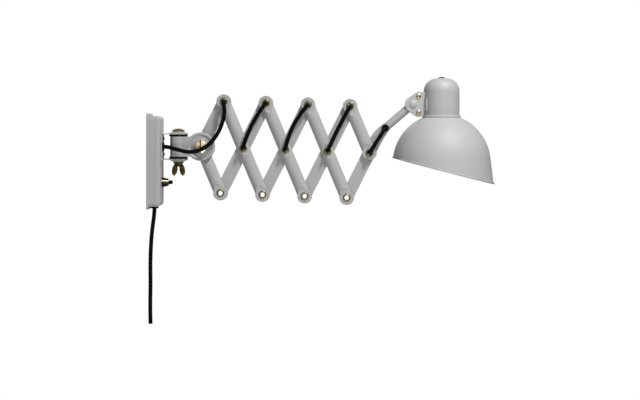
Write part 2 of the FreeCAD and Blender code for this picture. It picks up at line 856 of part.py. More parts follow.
# Supply cord: leaves the gland under the cover and hangs along the wall to its cut end
gland_foot = "(-cover_high/2 - gland_drop)"
cord(
    "supply_cord",
    [
        point("gland_x", "0", f"{gland_foot} + 9"),
        point("gland_x", "0", f"{gland_foot} - 8"),
        point("gland_x - 5.6", "0", f"{gland_foot} - 52"),
        point("gland_x - 8", "0", f"{gland_foot} - 104"),
        point("gland_x - 7.3", "0", f"{gland_foot} - 158"),
        point("gland_x - 8", "0", f"{gland_foot} - 204"),
        point("gland_x - 6.6", "0", f"{gland_foot} - 237.6"),
    ],
)

# Arm cord: out of the cover, past the swivel and the hub screw, and into the first top pivot
top_entry = [
    point(TOP[1][0], "-cord_standoff", TOP[1][1]),
    point(TOP[1][0], "-face_gap", TOP[1][1]),
]
lead_start = point("swivel_x - 8", "-27.5", "hub_z - 4")
lead_end = point("hub_x - 17", "-31", "hub_z - 13")
lead_break = lead_start + (lead_end - lead_start) * 0.6
lead_gap = (lead_end - lead_start).normalize() * value("face_gap")
cord(
    "lead_wall",
    [
        point("cover_front - 2", "grommet_y", "hub_z"),
        point("cover_front + 12", "grommet_y", "hub_z"),
        lead_start,
        lead_break,
    ],
)
cord(
    "lead_arm",
    [
        lead_break + lead_gap,
        lead_end,
        point("hub_x + 13", "-31", "hub_z - 2"),
        point("hub_x + 37", "-25", "hub_z + 26"),
        point("hub_x + 51", "-19.5", "hub_z + 66"),
        *top_entry,
    ],
)


def strand(label, first, second, side, bows):
    """A stretch of the cord between two pivots of one link, on its front (-1) or rear (1).

    It leaves the first eyelet, stands off the link, bows sideways by the given amounts at its quarters,
    and goes into the second eyelet.
    """
    start, end = point(first[0], "0", first[1]), point(second[0], "0", second[1])
    across = (end - start).normalize().cross(SIDE)
    stand = SIDE * (side * value("cord_standoff"))
    mouth = SIDE * (side * value("face_gap"))
    away = SIDE * (side * value("cord_belly"))
    spots = [start + mouth, start + stand]
    for share, bow in zip((0.22, 0.5, 0.78), bows):
        spots.append(start + (end - start) * share + across * bow + stand + away)
    cord(label, spots + [end + stand, end + mouth])


front_bows = {1: (3.5, 5.4, 3.5), 2: (5, 7.9, 5), 3: (1, 1.6, 1)}
for k, bows in front_bows.items():
    strand(f"cord_front_{k}", MID[k], TOP[k + 1], -1, bows)
rear_bows = (-3.6, -5, -3)
for k in range(1, CELLS + 1):
    strand(f"cord_rear_{k}", TOP[k], MID[k], 1, rear_bows)

# The last stretch enters the lamp arm through its grommet and runs in the tube to the ball
entry_x = f"({bend_x} + entry_reach*cos(tube_slope))"
entry_z = f"({bend_z} + entry_reach*sin(tube_slope))"
arm_run = [
    point(MID[CELLS][0], "-face_gap", MID[CELLS][1]),
    point(MID[CELLS][0], "-cord_standoff", MID[CELLS][1]),
    point(f"{MID[CELLS][0]} + 12", "-cord_standoff - cord_belly", f"{MID[CELLS][1]} + 20"),
    point(entry_x, "-entry_stand", entry_z),
    point(entry_x, arm_y, entry_z),
    point(*along_tube("-ball_round*0.8")),
]
cord("arm_lead", arm_run)
arm_bore, _, _ = tube("arm_bore", arm_run[3:], value("tube_bore"))
grommet_flat = f"({arm_y} - tube_round + entry_flat)"
node(cut(
    "lamp_arm",
    fuse("lamp_arm_blank", arm_bar, taper, arm_tube),
    arm_bore,
    sphere("ball_round + face_gap", BALL),
    rod("entry_lip + cord_room", "tube_round*2", (entry_x, grommet_flat, entry_z), "front"),
    rod("tube_bore + cord_room", "entry_neck + face_gap", (entry_x, grommet_flat, entry_z), "y"),
))
node(lay(lathe("arm_grommet", [
    ("cord_round + entry_flare", "-entry_neck"),
    ("tube_bore + cord_room - run_fit", "-entry_neck"),
    ("tube_bore + cord_room - run_fit", "0"),
    ("entry_lip", "0"),
    ("entry_lip", "entry_lip_high/2", "entry_lip_high/2"),
    ("entry_lip - entry_lip_high/2", "entry_lip_high"),
    ("cord_round + cord_room", "entry_lip_high"),
    ("cord_round + cord_room", "0"),
]), (entry_x, grommet_flat, entry_z), "front"))

# Ball: turned on the end of the tube, with a hollow spigot inside it for the cord
spigot = tube_rod("tube_bore - run_fit", "spigot_long", "0")
ball_blank = fuse("ball_blank", sphere("ball_round", BALL), spigot)
ball_hole = tube_rod("cord_round + cord_room", "spigot_long*2", "-ball_round*2")
node(cut("joint_ball", ball_blank, ball_hole))

# The shade hangs from the ball: its upright axis beyond the ball, its shoulder below
arc_x = "(bowl_turn_round - bowl_arc*cos(skirt_angle))"
arc_z = "(bowl_turn_z - bowl_arc*sin(skirt_angle))"
derive("shoulder", f"{arc_z} + sqrt(pow(bowl_arc; 2) - pow(bowl_top_round - {arc_x}; 2))")
derive("neck_foot", "shoulder + bead_high")
derive("neck_top", "shoulder + neck_high")
derive("holder_foot", "shoulder + holder_lift")
derive("shade_x", "ball_x + neck_reach")
derive("shade_z", "ball_z - ball_lift - shoulder")
SHADE = ("shade_x", arm_y, "shade_z")

# Joint plates: two pressed cheeks that grip the ball, their feet on the neck of the shade
lobe_reach = "sqrt(pow(joint_screw_x; 2) + pow(joint_screw_z; 2))"
lobe_turn = f"(atan2(joint_screw_z; joint_screw_x) + acos((joint_nose - joint_lobe)/{lobe_reach}))"
lobe_top = "(joint_screw_z + joint_lobe)"
plate_edge = "(shade_x - ball_x - neck_round + foot_wide/2)"


def lobe_touch(radius, sign, middle_x="0", middle_z="0"):
    """Where the plate's straight edge touches its nose or a lobe, above (1) or below (-1)."""
    return f"{middle_x} + {radius}*cos({lobe_turn})", f"{sign}*({middle_z} + {radius}*sin({lobe_turn}))"


cheek_outline = [
    (plate_edge, f"-{lobe_top}"),
    (plate_edge, lobe_top),
    ("joint_screw_x", lobe_top, "joint_lobe"),
    lobe_touch("joint_lobe", 1, "joint_screw_x", "joint_screw_z"),
    (*lobe_touch("joint_nose", 1), "joint_nose*1.0001"),
    ("-joint_nose", "0", "joint_nose*1.0001"),
    lobe_touch("joint_nose", -1),
    (*lobe_touch("joint_lobe", -1, "joint_screw_x", "joint_screw_z"), "joint_lobe"),
    ("joint_screw_x", f"-{lobe_top}"),
]


def neck_rod(radius):
    return rod(radius, "neck_top", SHADE, "z")


def cheek(label, side):
    """One joint plate, on the front (-1) or rear (1) of the ball."""
    inner = f"({arm_y} + {side}*joint_half)"
    flat_sheet = plate(f"{label}_sheet", "XZ_Plane", cheek_outline, "joint_sheet")
    place(flat_sheet, ("ball_x", inner if side < 0 else f"{inner} + joint_sheet", "ball_z"))
    room = "ball_round*3"
    half_space = block((room, room, room), (
        "ball_x - ball_round*1.5",
        f"{inner} - {room}" if side < 0 else inner,
        "ball_z - ball_round*1.5",
    ))
    bulge = common(f"{label}_bulge", sphere("ball_round + joint_sheet*0.85", BALL), half_space)
    foot_low = f"{inner} - foot_wide" if side < 0 else inner
    foot_at = ("shade_x - neck_round*1.4", foot_low, "ball_z - foot_high/2")
    foot_room = block(("neck_round", "foot_wide", "foot_high"), foot_at)
    foot = common(f"{label}_foot", neck_rod("neck_round + foot_sheet"), foot_room)
    holes = [
        rod("joint_screw_round + run_fit", "joint_half*8",
            ("ball_x + joint_screw_x", f"{arm_y} - joint_half*4", f"ball_z + {row}*joint_screw_z"), "y")
        for row in (-1, 1)
    ]
    body = fuse(f"{label}_body", flat_sheet, bulge, foot)
    seat = sphere("ball_round + run_fit", BALL)
    bead_room = rod("bead_round + face_gap", "neck_foot", SHADE, "z")
    return node(cut(label, body, seat, neck_rod("neck_round + run_fit"), bead_room, *holes))


cheek("joint_plate_front", -1)
cheek("joint_plate_rear", 1)

# Two slotted brass screws clamp the plates
screws = []
for n, row in enumerate((-1, 1)):
    front_face = f"{arm_y} - joint_half - joint_sheet"
    at = ("ball_x + joint_screw_x", front_face, f"ball_z + {row}*joint_screw_z")
    long = "2*(joint_half + joint_sheet) + joint_screw_round/2"
    blank = pan_screw(f"plate_screw_{n}", "joint_screw_round", "joint_head", "joint_head_high", long)
    lay(blank, at, "front")
    slot = block(("joint_slot", "joint_head_high", "joint_head*2.4"), ("0", "0", "0"))
    place(slot, (
        f"{at[0]} - joint_slot/2*cos(joint_slot_turn) - joint_head*1.2*sin(joint_slot_turn)",
        f"{at[1]} - joint_head_high*1.5",
        f"{at[2]} + joint_slot/2*sin(joint_slot_turn) - joint_head*1.2*cos(joint_slot_turn)",
    ), (0, 1, 0), "joint_slot_turn")
    screws.append(cut(f"slotted_{n}", blank, slot))
node(group("plate_screws", *screws))

# Shade: a sheet bowl turned about the neck's upright axis, cut off by a sloping rim
inner_arc = "(bowl_arc - bowl_sheet)"
collar_out = "(neck_round - bowl_sheet - run_fit)"
collar_in = "(neck_round - 2*bowl_sheet - run_fit)"
inner_shoulder = "(shoulder - bowl_sheet)"
inner_top = f"({arc_x} + sqrt(pow({inner_arc}; 2) - pow({inner_shoulder} - {arc_z}; 2)))"
inner_turn = (f"{arc_x} + {inner_arc}*cos(skirt_angle)", f"{arc_z} + {inner_arc}*sin(skirt_angle)")
skirt_out = ("bowl_turn_round + skirt_deep*tan(skirt_angle)", "bowl_turn_z - skirt_deep")
skirt_in = (f"{skirt_out[0]} - bowl_sheet/cos(skirt_angle)", skirt_out[1])
bowl_blank = lathe("bowl_blank", [
    (collar_in, "shoulder + collar_high"),
    (collar_out, "shoulder + collar_high"),
    (collar_out, "shoulder"),
    ("bowl_top_round", "shoulder", "-bowl_arc"),
    ("bowl_turn_round", "bowl_turn_z"),
    skirt_out,
    skirt_in,
    (*inner_turn, inner_arc),
    (inner_top, inner_shoulder),
    (collar_in, inner_shoulder),
])
place(bowl_blank, SHADE)


def below_rim(depth, lift):
    """A slab square to the rim, its top at a height above the rim's plane."""
    room = "skirt_deep*4"
    slab = block((room, room, depth), ("0", "0", "0"))
    back = "skirt_deep"
    drop = f"({lift} - ({depth}))"
    return place(slab, (
        f"shade_x - rim_back - {back}*cos(rim_slope) + {drop}*sin(rim_slope)",
        f"{arm_y} - skirt_deep*2",
        f"shade_z + rim_lift + {back}*sin(rim_slope) + {drop}*cos(rim_slope)",
    ), (0, 1, 0), "rim_slope")


rim_ring = lathe("rim_ring", [
    inner_turn,
    ("bowl_turn_round + rim_proud", "bowl_turn_z"),
    (f"{skirt_out[0]} + rim_proud", skirt_out[1]),
    skirt_in,
])
place(rim_ring, SHADE)
rim = common("rim", rim_ring, below_rim("rim_band", "rim_band"))
bowl_cut = cut("bowl_cut", bowl_blank, below_rim("skirt_deep*2", "0"))
node(fuse("shade_bowl", bowl_cut, rim))

# Neck: a drawn sheet cap with a rounded top and a beaded foot that sits on the bowl's shoulder
neck_blank = lathe("neck_blank", [
    ("bead_round", "shoulder"),
    ("bead_round", "neck_foot - bead_slope"),
    ("neck_round", "neck_foot"),
    ("neck_round", "neck_top - neck_corner", "neck_corner"),
    ("neck_round - neck_corner", "neck_top"),
    ("bolt_shank", "neck_top"),
    ("bolt_shank", "neck_top - bowl_sheet"),
    ("neck_round - neck_corner", "neck_top - bowl_sheet", "-(neck_corner - bowl_sheet)"),
    ("neck_round - bowl_sheet", "neck_top - neck_corner"),
    ("neck_round - bowl_sheet", "shoulder"),
])
place(neck_blank, SHADE)
lead_hole_spot = ("shade_x - neck_round*1.3", arm_y, "ball_z")
lead_hole = rod("cord_round + cord_room", "neck_round", lead_hole_spot, "x")
node(cut("neck_housing", neck_blank, lead_hole))

# The head's lead enters the neck behind the ball and ends at the lampholder
end_start = "(ball_x + ball_round + cord_round)"
end_long = f"shade_x - holder_round - face_gap - {end_start}"
head_lead = rod("cord_round", end_long, (end_start, arm_y, "ball_z"), "x")
head_lead.Label = "head_lead"
node(head_lead)

# Lampholder: hung from a black stud nut through the top of the neck
holder_top = "(holder_foot + holder_high)"
shell_top = "(holder_foot + shell_inset + shell_long)"
stud_end = f"({holder_top} - stud_deep)"
contact_top = f"({shell_top} + contact_high + face_gap*5)"
node(place(lathe("top_nut", [
    ("0", f"{stud_end} + face_gap"),
    ("bolt_shank - run_fit", f"{stud_end} + face_gap"),
    ("bolt_shank - run_fit", "neck_top"),
    ("top_nut_round", "neck_top"),
    ("top_nut_round", "neck_top + top_nut_high*0.4", dome("top_nut_round", "(top_nut_high*0.6)")),
    ("0", "neck_top + top_nut_high"),
]), SHADE))
node(place(lathe("lampholder_body", [
    ("shell_round + run_fit", "holder_foot"),
    ("holder_round", "holder_foot"),
    ("holder_round", f"{holder_top} - holder_slope"),
    ("holder_round - holder_slope", holder_top),
    ("bolt_shank", holder_top),
    ("bolt_shank", stud_end),
    ("0", stud_end),
    ("0", contact_top),
    ("shell_round + run_fit", contact_top),
]), SHADE))
shell_ring = ring("shell_bore", "shell_round", "holder_foot + shell_inset", shell_top)
node(place(lathe("screw_shell", shell_ring), SHADE))
node(place(lathe("centre_contact", [
    ("0", f"{contact_top} - contact_high"),
    ("contact_round", f"{contact_top} - contact_high*0.6"),
    ("contact_round", contact_top),
    ("0", contact_top),
]), SHADE))

# Switch: brass collar on the cover, black push button, and the switch body behind
switch_at = ("0", "0", "switch_z")
thread = "(collar_thread - run_fit)"
inside = "(cover_front - sheet_wall)"
node(lay(lathe("switch_collar", [
    ("button_round + run_fit", inside),
    (thread, inside),
    (thread, "cover_front"),
    ("collar_round", "cover_front"),
    ("collar_round", "cover_front + collar_long*0.2"),
    ("collar_tip", "cover_front + collar_long - edge_round", "edge_round"),
    ("collar_tip - edge_round", "cover_front + collar_long"),
    ("button_round + run_fit", "cover_front + collar_long"),
]), switch_at, "x"))
button_end = "(cover_front + collar_long + button_long)"
button_foot = f"({inside} - button_inside)"
node(lay(lathe("switch_button", [
    ("0", button_foot),
    ("button_round", button_foot),
    ("button_round", f"{button_end} - button_edge", dome("button_round", "button_edge")),
    ("0", button_end),
]), switch_at, "x"))
node(lay(lathe("switch_body", [
    ("0", "plate_thick*2"),
    ("collar_round", "plate_thick*2"),
    ("collar_round", inside),
    ("button_round + run_fit", inside),
    ("button_round + run_fit", f"{button_foot} - button_travel - edge_round"),
    ("0", f"{button_foot} - button_travel - edge_round"),
]), switch_at, "x"))

# Grommet on the bracket's web and gland under the cover, both black rubber round the cord
web_front = "(cover_front + ear_thick)"
node(lay(lathe("arm_cord_grommet", [
    ("cord_round + run_fit", f"{inside} - flange_inside"),
    ("grommet_grip", f"{inside} - flange_inside"),
    ("grommet_grip", inside),
    ("grommet_hole - run_fit", inside),
    ("grommet_hole - run_fit", web_front),
    ("grommet_round", web_front),
    ("grommet_round", f"{web_front} + flange_front/2", "flange_front/2"),
    ("grommet_round - flange_front/2", f"{web_front} + flange_front"),
    ("cord_round + run_fit", f"{web_front} + flange_front"),
]), ("0", "grommet_y", "hub_z"), "x"))
floor = "(-cover_high/2)"
node(place(lathe("supply_gland", [
    ("cord_round + run_fit", gland_foot),
    ("gland_round - edge_round", gland_foot),
    ("gland_round", f"{gland_foot} + edge_round"),
    ("gland_round", floor),
    ("gland_neck - run_fit", floor),
    ("gland_neck - run_fit", f"{floor} + sheet_wall"),
    ("gland_grip", f"{floor} + sheet_wall"),
    ("gland_grip", f"{floor} + sheet_wall + flange_inside"),
    ("cord_round + run_fit", f"{floor} + sheet_wall + flange_inside"),
]), ("gland_x", "0", "0")))

# Terminal block on the wall plate, with three wire holes
node(cut(
    "terminal_block",
    block(("block_deep", "block_wide", "block_high"), ("plate_thick", "-block_wide/2", "block_z")),
    *[
        rod("wire_hole", "block_deep",
            ("plate_thick*2", f"{spot}*wire_pitch", "block_z + block_high/2"), "x")
        for spot in (-1, 0, 1)
    ],
))

doc.recompute()
os.makedirs("parts", exist_ok=True)
for thing in doc.Objects:
    if "Invalid" in thing.State or "Error" in thing.State:
        raise RuntimeError(f"{thing.Label} did not build: {thing.State}")
for thing in NODES:
    shape = thing.Shape
    if shape.isNull() or not shape.isValid() or not shape.Solids:
        raise RuntimeError(f"{thing.Label} has no valid solid")
    shape.exportStep(f"parts/{thing.Label}.step")
    print(thing.Label, len(shape.Solids), "solids", round(shape.Volume), "mm3")
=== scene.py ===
import bpy
import json
import math
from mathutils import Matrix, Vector


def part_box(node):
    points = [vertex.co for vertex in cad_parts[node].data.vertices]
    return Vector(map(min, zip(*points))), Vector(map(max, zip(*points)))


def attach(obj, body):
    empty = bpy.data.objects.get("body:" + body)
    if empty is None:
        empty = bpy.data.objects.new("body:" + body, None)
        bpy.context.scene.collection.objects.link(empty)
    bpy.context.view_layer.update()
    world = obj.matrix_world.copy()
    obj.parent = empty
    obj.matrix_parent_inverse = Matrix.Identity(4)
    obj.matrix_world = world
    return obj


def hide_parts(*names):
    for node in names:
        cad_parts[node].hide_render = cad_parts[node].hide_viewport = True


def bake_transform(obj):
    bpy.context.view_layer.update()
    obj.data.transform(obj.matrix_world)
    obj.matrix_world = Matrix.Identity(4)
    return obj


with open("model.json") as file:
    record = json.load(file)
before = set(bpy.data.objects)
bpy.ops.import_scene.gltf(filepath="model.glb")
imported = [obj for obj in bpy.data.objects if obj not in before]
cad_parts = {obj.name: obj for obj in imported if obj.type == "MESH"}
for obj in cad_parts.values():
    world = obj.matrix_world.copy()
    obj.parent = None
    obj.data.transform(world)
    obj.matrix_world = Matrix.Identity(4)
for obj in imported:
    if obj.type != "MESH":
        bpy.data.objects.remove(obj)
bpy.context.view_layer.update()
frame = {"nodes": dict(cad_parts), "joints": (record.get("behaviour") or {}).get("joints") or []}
nodes = frame["nodes"]

# Studio: the lamp hangs on an unseen wall in front of white, and the camera stands level and square to it.
# A small softbox at the upper right models the round links, and a wide one above the camera fills.
# A tall strip at the right shines in the brass, and weak ones lift the underside and the back.
IMAGE_WIDTH = 640
METRES_PER_PIXEL = 0.00207
CAMERA_SPOT = Vector((0.3549, -2.8, 0.0728))
SENSOR = 36.0
# The picture reaches down to the cord's end, so its middle lies below the camera.
FRAME_MIDDLE = -0.0806

camera_data = bpy.data.cameras.new("studio_camera")
camera_data.sensor_width = SENSOR
camera_data.lens = SENSOR * -CAMERA_SPOT.y / (IMAGE_WIDTH * METRES_PER_PIXEL)
camera_data.shift_y = (FRAME_MIDDLE - CAMERA_SPOT.z) / (IMAGE_WIDTH * METRES_PER_PIXEL)
camera = bpy.data.objects.new("studio_camera", camera_data)
camera.location = CAMERA_SPOT
camera.rotation_euler = Vector((0, 1, 0)).to_track_quat("-Z", "Z").to_euler()
bpy.context.scene.collection.objects.link(camera)
bpy.context.scene.camera = camera
bpy.context.scene.view_settings.view_transform = "Standard"


def softbox(name, spot, aim, wide, high, power):
    """A rectangular area light that looks at a point."""
    data = bpy.data.lights.new(name, "AREA")
    data.shape = "RECTANGLE"
    data.size = wide
    data.size_y = high
    data.energy = power
    light = bpy.data.objects.new(name, data)
    light.location = spot
    light.rotation_euler = (Vector(aim) - Vector(spot)).to_track_quat("-Z", "Y").to_euler()
    light.visible_camera = False
    bpy.context.scene.collection.objects.link(light)


ARM_MIDDLE = (0.36, 0, 0.02)
softbox("key_softbox", spot=(1.14, -1.02, 1.8), aim=ARM_MIDDLE, wide=0.3, high=0.3, power=47)
softbox("fill_softbox", spot=(-0.25, -2.8, 1.0), aim=ARM_MIDDLE, wide=3.0, high=1.3, power=11)
softbox("bounce_card", spot=(0.4, -1.0, -0.75), aim=ARM_MIDDLE, wide=0.6, high=0.6, power=3.5)
softbox("back_softbox", spot=(0.2, 2.4, 0.7), aim=ARM_MIDDLE, wide=1.6, high=1.6, power=12)
softbox("strip_softbox", spot=(1.06, -1.67, 0.98), aim=ARM_MIDDLE, wide=0.3, high=2.0, power=2.7)


def linear(code):
    """An sRGB hex colour as linear red, green, blue and alpha."""
    shares = [int(code[n:n + 2], 16) / 255 for n in (1, 3, 5)]
    return [s / 12.92 if s <= 0.04045 else ((s + 0.055) / 1.055) ** 2.4 for s in shares] + [1]


def add(tree, kind, inputs=None, **settings):
    """Add a node with its settings; each input is a value or the output of another node."""
    node = tree.nodes.new(kind)
    for name, value in settings.items():
        setattr(node, name, value)
    for socket, value in (inputs or {}).items():
        if isinstance(value, bpy.types.NodeSocket):
            tree.links.new(value, node.inputs[socket])
        else:
            node.inputs[socket].default_value = value
    return node


# The background is pure white to the eye and gives soft even light to the lamp.
WHITE = linear("#FFFFFF")
GLOW = 0.175
BACKDROP = 1.0
world = bpy.data.worlds.new("studio_world")
bpy.context.scene.world = world
world.use_nodes = True
world.node_tree.nodes.clear()
seen = add(world.node_tree, "ShaderNodeLightPath")
glow = add(world.node_tree, "ShaderNodeBackground", {"Color": WHITE, "Strength": GLOW})
backdrop = add(world.node_tree, "ShaderNodeBackground", {"Color": WHITE, "Strength": BACKDROP})
either = add(world.node_tree, "ShaderNodeMixShader", {
    0: seen.outputs["Is Camera Ray"], 1: glow.outputs[0], 2: backdrop.outputs[0],
})
add(world.node_tree, "ShaderNodeOutputWorld", {"Surface": either.outputs[0]})

# Floor: a plain pale studio floor of painted screed, well below the lamp.
# It lies out of the photograph's frame and shows from other sides only.
FLOOR_DROP = 1.15
FLOOR_RADIUS = 3.0
CIRCLE_SIDES = 96
bpy.ops.object.select_all(action="DESELECT")
bpy.ops.mesh.primitive_circle_add(
    vertices=CIRCLE_SIDES, radius=FLOOR_RADIUS, fill_type="NGON",
    location=(ARM_MIDDLE[0], ARM_MIDDLE[1], -FLOOR_DROP),
)
floor = bpy.context.object
floor.name = "studio_floor"


def material(name):
    """A new empty material, its tree and its object coordinates in metres."""
    made = bpy.data.materials.new(name)
    made.use_nodes = True
    made.node_tree.nodes.clear()
    coords = add(made.node_tree, "ShaderNodeTexCoord")
    return made, made.node_tree, coords.outputs["Object"]


def speckle(tree, coords, size_mm, detail=2.0):
    """Noise whose lumps are about the given size."""
    return add(tree, "ShaderNodeTexNoise", {"Vector": coords, "Scale": 1000 / size_mm, "Detail": detail})


# Nearly all of the noise lies between these two values.
NOISE_LOW = 0.3
NOISE_HIGH = 0.7


def spread(tree, noise, low, high):
    """A number that wanders between two values with the noise."""
    return add(tree, "ShaderNodeMapRange", {
        "Value": noise.outputs["Fac"],
        "From Min": NOISE_LOW, "From Max": NOISE_HIGH, "To Min": low, "To Max": high,
    }).outputs["Result"]


# A Mix node has sockets for numbers, vectors and colours; these are the ones for colours.
MIX_FIRST = 6
MIX_SECOND = 7
MIX_RESULT = 2


def two_tone(tree, noise, first, second):
    """A colour that wanders between two close shades with the noise."""
    return add(tree, "ShaderNodeMix", {
        "Factor": noise.outputs["Fac"], MIX_FIRST: linear(first), MIX_SECOND: linear(second),
    }, data_type="RGBA").outputs[MIX_RESULT]


def dents(tree, noise, depth_mm):
    """Bump of a given depth."""
    return add(tree, "ShaderNodeBump", {
        "Height": noise.outputs["Fac"], "Strength": 1.0, "Distance": depth_mm / 1000,
    }).outputs["Normal"]


def surface(tree, inputs):
    """The finished surface, with its shader's sockets."""
    shader = add(tree, "ShaderNodeBsdfPrincipled", inputs)
    add(tree, "ShaderNodeOutputMaterial", {"Surface": shader.outputs[0]})


# Painted screed: matt, with a faint cloudiness.
floor_paint, tree, coords = material("pale_floor_paint")
clouds = speckle(tree, coords, size_mm=220)
surface(tree, {"Base Color": two_tone(tree, clouds, "#E9E8E6", "#E1E0DE"), "Roughness": 0.7})
floor.data.materials.append(floor_paint)

# Supply cord: a round mains lead in a black PVC sheath.
# It leaves the rubber gland under the wall box and hangs down the wall to a plain cut end.
# The straight end of the same lead in the lamp head gives its thickness.
cord_low, cord_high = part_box("head_lead")
CORD_RADIUS = (cord_high.y - cord_low.y) / 2
ROUTE_STEPS = 12
ROUND_STEPS = 6


def cord_curve(name, points):
    """A curve with a cord's route as the control points of a smooth spline."""
    curve = bpy.data.curves.new(name, "CURVE")
    curve.dimensions = "3D"
    spline = curve.splines.new("NURBS")
    spline.points.add(len(points) - 1)
    for spot, point in zip(spline.points, points):
        spot.co = (*point, 1)
    spline.order_u = 3
    spline.use_endpoint_u = True
    spline.resolution_u = ROUTE_STEPS
    cord = bpy.data.objects.new(name, curve)
    bpy.context.scene.collection.objects.link(cord)
    return cord


def line_of(cord):
    """Points along a curve that has no bevel yet."""
    bpy.context.view_layer.update()
    mesh = bpy.data.meshes.new_from_object(cord)
    return [vertex.co.copy() for vertex in mesh.vertices]


def length_of(line):
    """Length along a line of points."""
    return sum((after - before).length for before, after in zip(line, line[1:]))


# Black PVC: extruded, so smooth, with a soft sheen and a slightly uneven skin.
sheath, tree, coords = material("black_pvc_sheath")
skin = speckle(tree, coords, size_mm=4, detail=4.0)
grain = speckle(tree, coords, size_mm=0.8)
surface(tree, {
    "Base Color": two_tone(tree, skin, "#050505", "#080808"),
    "Roughness": spread(tree, skin, low=0.45, high=0.6),
    "Specular IOR Level": 0.07,
    "Normal": dents(tree, grain, depth_mm=0.02),
})


def sheathe(cord):
    """Give a route its round sheath, closed at both ends."""
    cord.data.bevel_depth = CORD_RADIUS
    cord.data.bevel_resolution = ROUND_STEPS
    cord.data.use_fill_caps = True
    cord.data.materials.append(sheath)


gland_low, gland_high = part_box("supply_gland")
gland_x = (gland_low.x + gland_high.x) / 2
gland_foot = gland_low.z
# Each point's drop below the gland, and how far the cord has drifted to the wall and to the front there.
SUPPLY_DRIFT = (
    (-0.009, 0, 0),
    (0.008, 0, 0),
    (0.052, 0.0056, 0.005),
    (0.104, 0.008, 0.008),
    (0.158, 0.0073, 0.0085),
    (0.204, 0.0082, 0.0095),
    (0.2376, 0.0072, 0.0095),
)
supply_route = [Vector((gland_x - wall, -front, gland_foot - drop)) for drop, wall, front in SUPPLY_DRIFT]
supply = cord_curve("supply_lead", supply_route)
supply_length = length_of(line_of(supply))
sheathe(supply)
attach(supply, "wall_unit")
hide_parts("supply_cord")

# Arm cord beside the swivel: the same lead, loose so that the arm can swing, tilt and stretch.
# It leaves the bracket's grommet, passes in front of the swivel and the hub screw,
# and enters the first top pivot from the front.
CELLS = 4
PIVOT = {joint["name"]: Vector(joint["pos_m"]) for joint in frame["joints"] if "pos_m" in joint}
HUB = PIVOT["arm_extend"]
SWIVEL_AXIS = PIVOT["arm_swing"]
TOP = {k: PIVOT[f"top_pivot_{k}"] for k in range(1, CELLS + 1)}
grommet_low, grommet_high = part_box("arm_cord_grommet")
grommet_y = (grommet_low.y + grommet_high.y) / 2
COVER_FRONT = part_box("box_cover")[1].x
# How far the lead stands out: along a link, at a pivot's lip, in its mouth, and before the swivel and hub.
STANDOFF = 0.017
LIP = 0.009
MOUTH = 0.0001
SWIVEL_CLEAR = 0.0275
HUB_CLEAR = 0.031
swivel_front = Vector((SWIVEL_AXIS.x - 0.008, -SWIVEL_CLEAR, HUB.z - 0.004))
hub_front = Vector((HUB.x - 0.017, -HUB_CLEAR, HUB.z - 0.013))
hub_side = Vector((HUB.x + 0.013, -HUB_CLEAR, HUB.z - 0.002))
rising = Vector((HUB.x + 0.037, -0.025, HUB.z + 0.026))
lead_route = [
    Vector((COVER_FRONT - 0.002, grommet_y, HUB.z)),
    Vector((COVER_FRONT + 0.012, grommet_y, HUB.z)),
    swivel_front,
    hub_front,
    hub_side,
    rising,
    Vector((HUB.x + 0.051, -0.0195, HUB.z + 0.066)),
    TOP[1] + Vector((0, -STANDOFF, 0)),
    TOP[1] + Vector((0, -LIP, 0)),
    TOP[1] + Vector((0, -MOUTH, 0)),
]
lead_guide = cord_curve("lead_guide", lead_route)
lead_line = line_of(lead_guide)
bpy.data.objects.remove(lead_guide)


def lead_tube(name, line):
    """A mesh tube along points of the lead."""
    curve = bpy.data.curves.new(name, "CURVE")
    curve.dimensions = "3D"
    spline = curve.splines.new("POLY")
    spline.points.add(len(line) - 1)
    for spot, point in zip(spline.points, line):
        spot.co = (*point, 1)
    curve.bevel_depth = CORD_RADIUS
    curve.bevel_resolution = ROUND_STEPS
    curve.use_fill_caps = True
    guide = bpy.data.objects.new(name + "_guide", curve)
    bpy.context.scene.collection.objects.link(guide)
    bpy.context.view_layer.update()
    tube = bpy.data.objects.new(name, bpy.data.meshes.new_from_object(guide))
    bpy.data.objects.remove(guide)
    bpy.context.scene.collection.objects.link(tube)
    for face in tube.data.polygons:
        face.use_smooth = True
    tube.data.materials.append(sheath)
    return tube


def nearest(line, spot):
    """Index of the point of a line that is nearest to a spot."""
    return min(range(len(line)), key=lambda n: (line[n] - spot).length)


# The lead is parted past the swivel and past the hub, and each stretch is listed with the two bodies it runs
# between.
# The last one is laid from the pivot back to the hub.
PAST_SWIVEL = 0.6
PAST_HUB = 0.3
past_swivel = nearest(lead_line, swivel_front.lerp(hub_front, PAST_SWIVEL))
past_hub = nearest(lead_line, hub_side.lerp(rising, PAST_HUB))
stretches = [
    ("lead_at_swivel", lead_line[:past_swivel + 1], "wall_unit", "swivel_head", ["lead_wall"]),
    ("lead_at_hub", lead_line[past_swivel:past_hub + 1], "swivel_head", "tilt_hub", []),
    ("lead_to_pivot", lead_line[:past_hub - 1:-1], "rear_arm_0", "tilt_hub", ["lead_arm"]),
]
for name, line, body, next_body, cad_nodes in stretches:
    tube = lead_tube(name, line)
    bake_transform(tube)
    if cad_nodes:
        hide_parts(*cad_nodes)

# Arm cord over the links: threaded through the hollow pivots, now in front of the arm and now behind it.
# Each stretch keeps to one link, stands off it between two pivots, and bows a little to one side.
LOW = {k: PIVOT[f"low_pivot_{k}"] for k in range(1, CELLS + 1)}
MID = {k: (LOW[k] + TOP[k + 1]) / 2 for k in range(1, CELLS)}
# The last crossing has no top pivot after it, and stands as far on as the one before.
MID[CELLS] = MID[CELLS - 1] * 2 - MID[CELLS - 2]
SIDE = Vector((0, 1, 0))
FRONT = -1
REAR = 1
BELLY = 0.0016
BOW_SHARES = (0.22, 0.5, 0.78)


